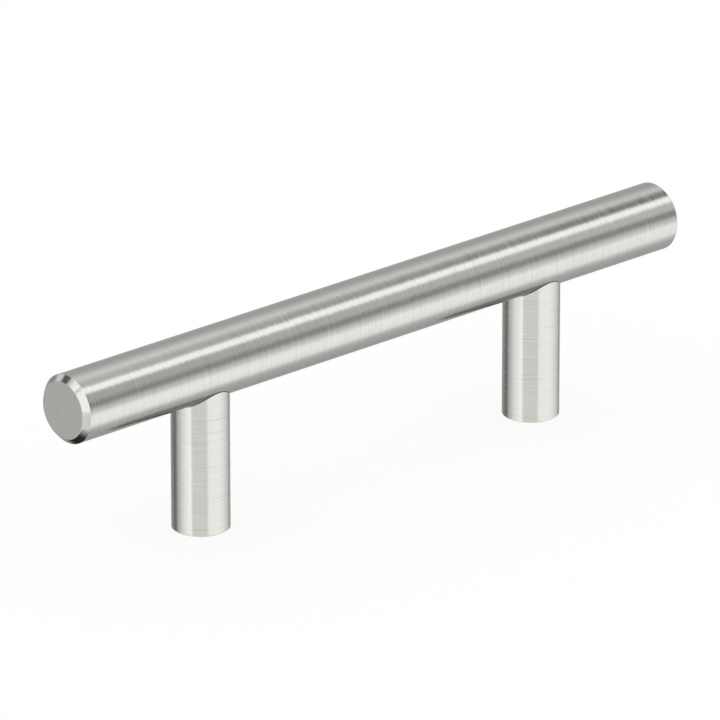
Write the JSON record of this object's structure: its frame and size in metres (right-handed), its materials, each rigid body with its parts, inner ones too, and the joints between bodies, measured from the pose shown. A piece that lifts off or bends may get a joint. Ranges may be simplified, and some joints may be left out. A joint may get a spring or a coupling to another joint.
{
  "type": "t bar cabinet pull",
  "caption": "Straight round bar handle on two saddle-cut round posts, each with a threaded hole in its foot for a screw through the door.",
  "frame": {"origin": "on the door's face, midway between the two posts' feet, below the bar's middle", "axes": "+X along the bar; +Z away from the door, along the posts; +Y across the bar"},
  "size_m": [0.1366, 0.012, 0.035],
  "materials": {
    "brushed_nickel": "brushed satin nickel",
    "plain_steel": "plain steel, as turned"
  },
  "bodies": {
    "root": {"bar": "brushed_nickel", "post_left": "brushed_nickel", "post_right": "brushed_nickel", "stud_left": "plain_steel", "stud_right": "plain_steel"}
  },
  "joints": []
}
